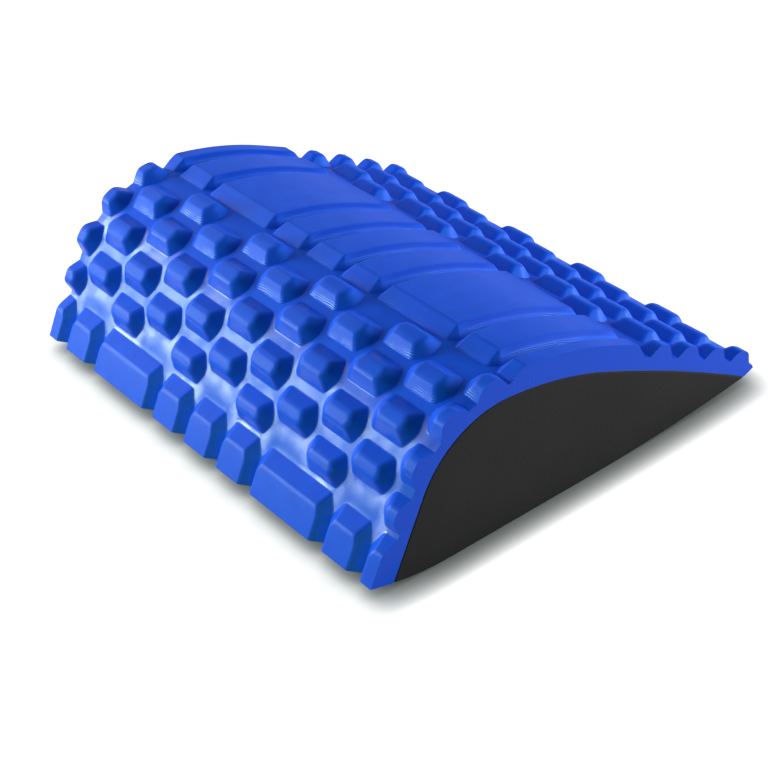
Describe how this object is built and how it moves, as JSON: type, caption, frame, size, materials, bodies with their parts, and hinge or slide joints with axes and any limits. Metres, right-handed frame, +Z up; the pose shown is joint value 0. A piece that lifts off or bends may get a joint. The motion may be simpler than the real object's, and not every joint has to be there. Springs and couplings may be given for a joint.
{
  "type": "back stretcher",
  "caption": "Arched foam back stretcher with a steep end, a long tapering tail, and a moulded cover of raised six-sided blocks, crown ribs and edge bars.",
  "frame": {"origin": "on the surface it lies on, under the middle of its length and width", "axes": "+Z up; +X along the body from the steep end towards the thin tip of the tail; +Y across its width, which is its longest side"},
  "size_m": [0.2762, 0.302, 0.0938],
  "materials": {
    "black_foam": "closed-cell foam, skived flat, matt, fine pores",
    "dried_glue": "thin dried contact glue, dull",
    "blue_foam": "moulded foam skin, satin, fine mould grain"
  },
  "bodies": {
    "root": {"foam_core": "black_foam", "glue_film": "dried_glue", "tread_cover": "blue_foam"}
  },
  "joints": []
}
